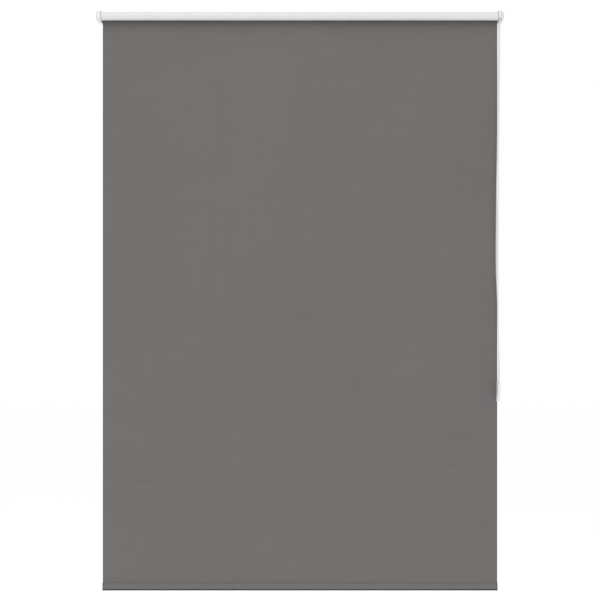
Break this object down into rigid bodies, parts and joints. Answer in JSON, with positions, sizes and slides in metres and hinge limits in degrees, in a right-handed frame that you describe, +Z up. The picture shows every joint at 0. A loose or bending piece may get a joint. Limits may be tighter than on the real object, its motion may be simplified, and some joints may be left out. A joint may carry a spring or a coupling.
{
  "type": "roller blind",
  "caption": "Chain-driven roller blind: plain grey cloth on a white tube, brackets with covers, bead chain with tensioner, and a weighted hem.",
  "frame": {"origin": "on the wall plane, midway between the four wall screws, level with the tube's axis", "axes": "+X along the tube towards the chain end, +Y into the wall, +Z up"},
  "size_m": [1.0458, 0.076, 1.4921],
  "materials": {
    "tube_white": "white stove enamel, satin",
    "cover_white": "white moulded plastic",
    "clutch_white": "white moulded acetal",
    "chain_white": "white moulded beads on a cord",
    "bracket_steel": "white powder-coated steel",
    "spring_steel": "spring wire",
    "zinc_steel": "zinc-plated",
    "cloth_grey": "plain woven polyester with a light-tight back",
    "tape_clear": "double-sided tape",
    "bar_aluminium": "mill finish extrusion",
    "cap_grey": "grey moulded plastic"
  },
  "bodies": {
    "root": {"bracket_left": "bracket_steel", "bracket_right": "bracket_steel", "cover_left": "cover_white", "cover_right": "cover_white", "wall_screws": "zinc_steel", "clutch_core": "clutch_white", "clutch_screw": "zinc_steel", "chain_guard": "cover_white", "cloth_sheet": "cloth_grey", "bead_chain": "chain_white", "chain_turn": "chain_white", "tensioner_body": "cover_white", "tensioner_lid": "cover_white", "tensioner_screw": "zinc_steel", "tensioner_axle": "zinc_steel"},
    "roll": {"roller_tube": "tube_white", "cloth_wrap": "cloth_grey", "cloth_tape": "tape_clear", "drive_hub": "clutch_white", "sprocket": "clutch_white", "wrap_spring_inner": "spring_steel", "wrap_spring_outer": "spring_steel", "idler_plug": "clutch_white", "spring_retainer": "clutch_white"},
    "hem": {"hem_pocket": "cloth_grey", "hem_bar": "bar_aluminium", "hem_cap_left": "cap_grey", "hem_cap_right": "cap_grey"},
    "pin": {"idler_pin": "clutch_white", "idler_spring": "spring_steel"},
    "guide_wheel": {"tensioner_wheel": "clutch_white"}
  },
  "joints": [
    {"name": "tube_roll", "type": "hinge", "parent": "root", "child": "roll", "pos_m": [0, -0.032, 0], "axis": [1, 0, 0], "range_deg": [0, 5580]},
    {"name": "hem_lift", "type": "slide", "parent": "root", "child": "hem", "axis": [0, 0, 1], "range_m": [0, 1.4], "deforming": ["cloth_sheet"]},
    {"name": "guide_wheel_turn", "type": "hinge", "parent": "root", "child": "guide_wheel", "pos_m": [0.50895, -0.0356, -0.962], "axis": [0.9997, 0, -0.0262], "range_deg": [0, 6976]},
    {"name": "pin_press", "type": "slide", "parent": "root", "child": "pin", "axis": [1, 0, 0], "range_m": [0, 0.008], "stiffness_N_per_m": 250, "springref_m": -0.01, "deforming": ["idler_spring"]}
  ],
  "couplings": [
    {"joint": "hem_lift", "follows": "tube_roll", "m_per_rad": 0.01437},
    {"joint": "guide_wheel_turn", "follows": "tube_roll", "ratio": 1.25}
  ]
}
